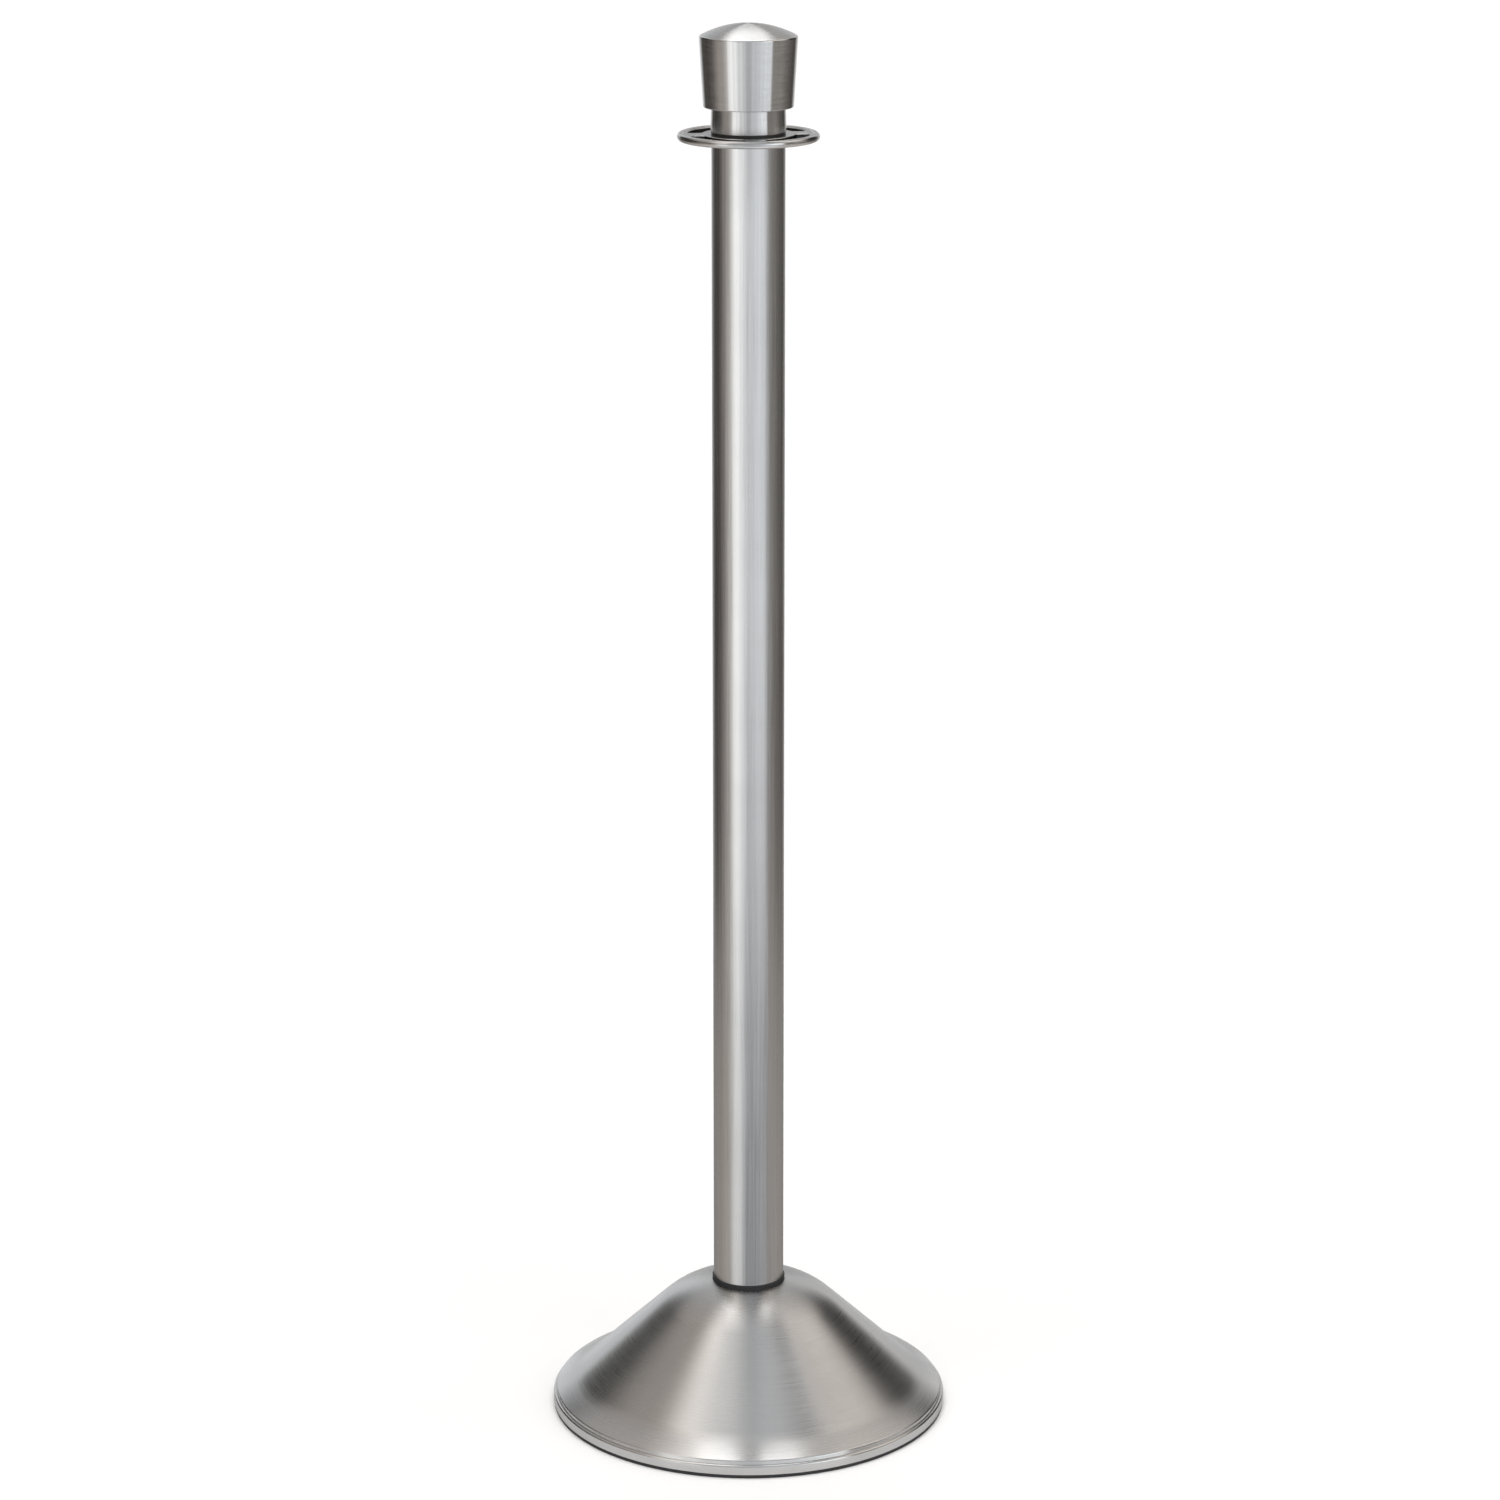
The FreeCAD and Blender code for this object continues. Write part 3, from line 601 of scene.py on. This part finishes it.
SHOULDER = [
    (-180, 0.55), (-168, 0.90), (-155, 0.90), (-148, 0.05), (-100, 0.05), (-85, 0.20),
    (-60, 0.10), (-50, 0.60), (-40, 0.60), (-20, 0.45), (0, 0.50), (12, 0.60), (30, 0.80),
    (40, 1.80), (57, 2.10), (61, 0.10), (75, 0.10), (90, 0.50), (105, 0.40), (115, 0.00),
    (148, 0.00), (155, 0.80), (168, 0.85), (180, 0.55),
]
ABOVE = [
    (-180, 0.65), (-160, 0.60), (-140, 0.40), (-120, 0.50), (-100, 0.50), (-85, 0.35),
    (-74, 0.70), (-62, 1.60), (-48, 1.20), (-35, 0.50), (0, 0.50), (25, 0.55), (42, 0.50),
    (52, 0.20), (62, 0.20), (75, 0.80), (95, 1.15), (118, 0.95), (135, 0.45), (155, 0.50),
    (180, 0.65),
]
OVERHEAD = [
    (-180, 1.00), (-120, 0.90), (-70, 1.40), (-50, 1.25), (-20, 0.85), (0, 0.65),
    (25, 0.75), (45, 0.60), (70, 0.25), (95, 0.25), (130, 0.70), (180, 1.00),
]
# Colour of that light by direction: cool paper, warmer where the studio is dark.
LIGHT_TINT = [
    (-180, (1.00, 1.00, 1.01)), (-155, (0.97, 1.00, 1.03)), (-138, (1.08, 1.00, 0.93)),
    (-70, (1.10, 1.00, 0.92)), (-50, (1.00, 1.00, 0.99)), (-10, (0.98, 1.00, 1.02)),
    (15, (0.97, 1.00, 1.04)), (57, (0.97, 1.00, 1.04)), (64, (1.06, 1.00, 0.94)),
    (140, (1.08, 1.00, 0.92)), (160, (1.00, 1.00, 1.00)), (180, (1.00, 1.00, 1.01)),
]
# Each zone above the near floor takes over between these two heights, in degrees.
ZONES = [
    (FLOOR_LEVEL, -32, -26), (EYE_LEVEL, -18.5, -16.8), (SHOULDER, 0, 8), (ABOVE, 27, 37),
    (OVERHEAD, 58, 70),
]
CLUTTER_SCALE = 18.0
STRENGTH = (3.0, 5.0)
SUN_ENERGY = 1.6
SUN_ANGLE = 50
SOFTBOX_PLACE = (0, 1.30, 2.94)
SOFTBOX_SIZE = (1.24, 1.80)
SOFTBOX_LEVEL = 1.60
CAMERA_PLACE = (0.00107, -3.078, 1.339)
CAMERA_DROP = 15.32
CAMERA_LENS = 107.9
CAMERA_SENSOR = 36.0


def compass_ramp(tree, azimuth, bands):
    """Brightness or colour, at half strength, along a list of (direction, level)."""
    ramp = tree.add("ValToRGB")
    stops = ramp.color_ramp.elements
    while len(stops) < len(bands):
        stops.new(0.5)
    for stop, (angle, level) in zip(stops, bands):
        stop.position = (angle + 180) / 360
        colour = level if isinstance(level, tuple) else (level, level, level)
        stop.color = (*[channel / 2 for channel in colour], 1)
    tree.wire(azimuth, ramp.inputs[0])
    return ramp.outputs[0]


def make_sky():
    """The studio around the stanchion, from the near floor up to overhead."""
    world = bpy.data.worlds.new("studio")
    bpy.context.scene.world = world
    world.use_nodes = True
    tree = Nodes(world.node_tree)
    across, along, up = tree.split(tree.add("TexCoord").outputs["Generated"])
    turn = tree.math("ARCTAN2", across, tree.math("MULTIPLY", along, -1.0))
    azimuth = tree.spread(turn, 0.0, 1.0, -math.pi, math.pi)
    degrees = tree.math("MULTIPLY", tree.math("ARCSINE", up), 180 / math.pi)
    level = compass_ramp(tree, azimuth, NEAR_FLOOR)
    for bands, start, end in ZONES:
        upper = compass_ramp(tree, azimuth, bands)
        level = tree.shade(tree.spread(degrees, 0.0, 1.0, start, end), level, upper)
    tint = compass_ramp(tree, azimuth, LIGHT_TINT)
    flat = tree.math("SQRT", tree.math("SUBTRACT", 1.0, tree.math("MULTIPLY", up, up)))
    heading = tree.join(tree.math("DIVIDE", across, flat), tree.math("DIVIDE", along, flat), 0.0)
    clutter = tree.noise(heading, CLUTTER_SCALE, 3.0, 0.6)
    background = world.node_tree.nodes["Background"]
    tree.wire(tree.shade(1.0, level, tint, "MULTIPLY"), background.inputs["Color"])
    tree.wire(tree.spread(clutter, *STRENGTH, *NOISE_RANGE), background.inputs["Strength"])


def make_lights():
    """A sun for the floor only, and a softbox overhead for the metal only."""
    lamp = bpy.data.lights.new("overhead", "SUN")
    lamp.energy = SUN_ENERGY
    lamp.angle = math.radians(SUN_ANGLE)
    overhead = bpy.data.objects.new("overhead", lamp)
    overhead.visible_glossy = False
    bpy.context.scene.collection.objects.link(overhead)
    panel = bpy.data.lights.new("softbox", "AREA")
    panel.shape = "RECTANGLE"
    panel.size, panel.size_y = SOFTBOX_SIZE
    panel.energy = SOFTBOX_LEVEL * math.pi * panel.size * panel.size_y
    softbox = bpy.data.objects.new("softbox", panel)
    softbox.location = SOFTBOX_PLACE
    softbox.visible_diffuse = False
    bpy.context.scene.collection.objects.link(softbox)


def make_camera():
    lens = bpy.data.cameras.new("camera")
    lens.lens = CAMERA_LENS
    lens.sensor_width = CAMERA_SENSOR
    camera = bpy.data.objects.new("camera", lens)
    camera.location = CAMERA_PLACE
    camera.rotation_euler = (math.radians(90 - CAMERA_DROP), 0, 0)
    bpy.context.scene.collection.objects.link(camera)
    bpy.context.scene.camera = camera


make_floor()
make_backdrop()
make_sky()
make_lights()
make_camera()
bpy.context.scene.view_settings.view_transform = "Standard"
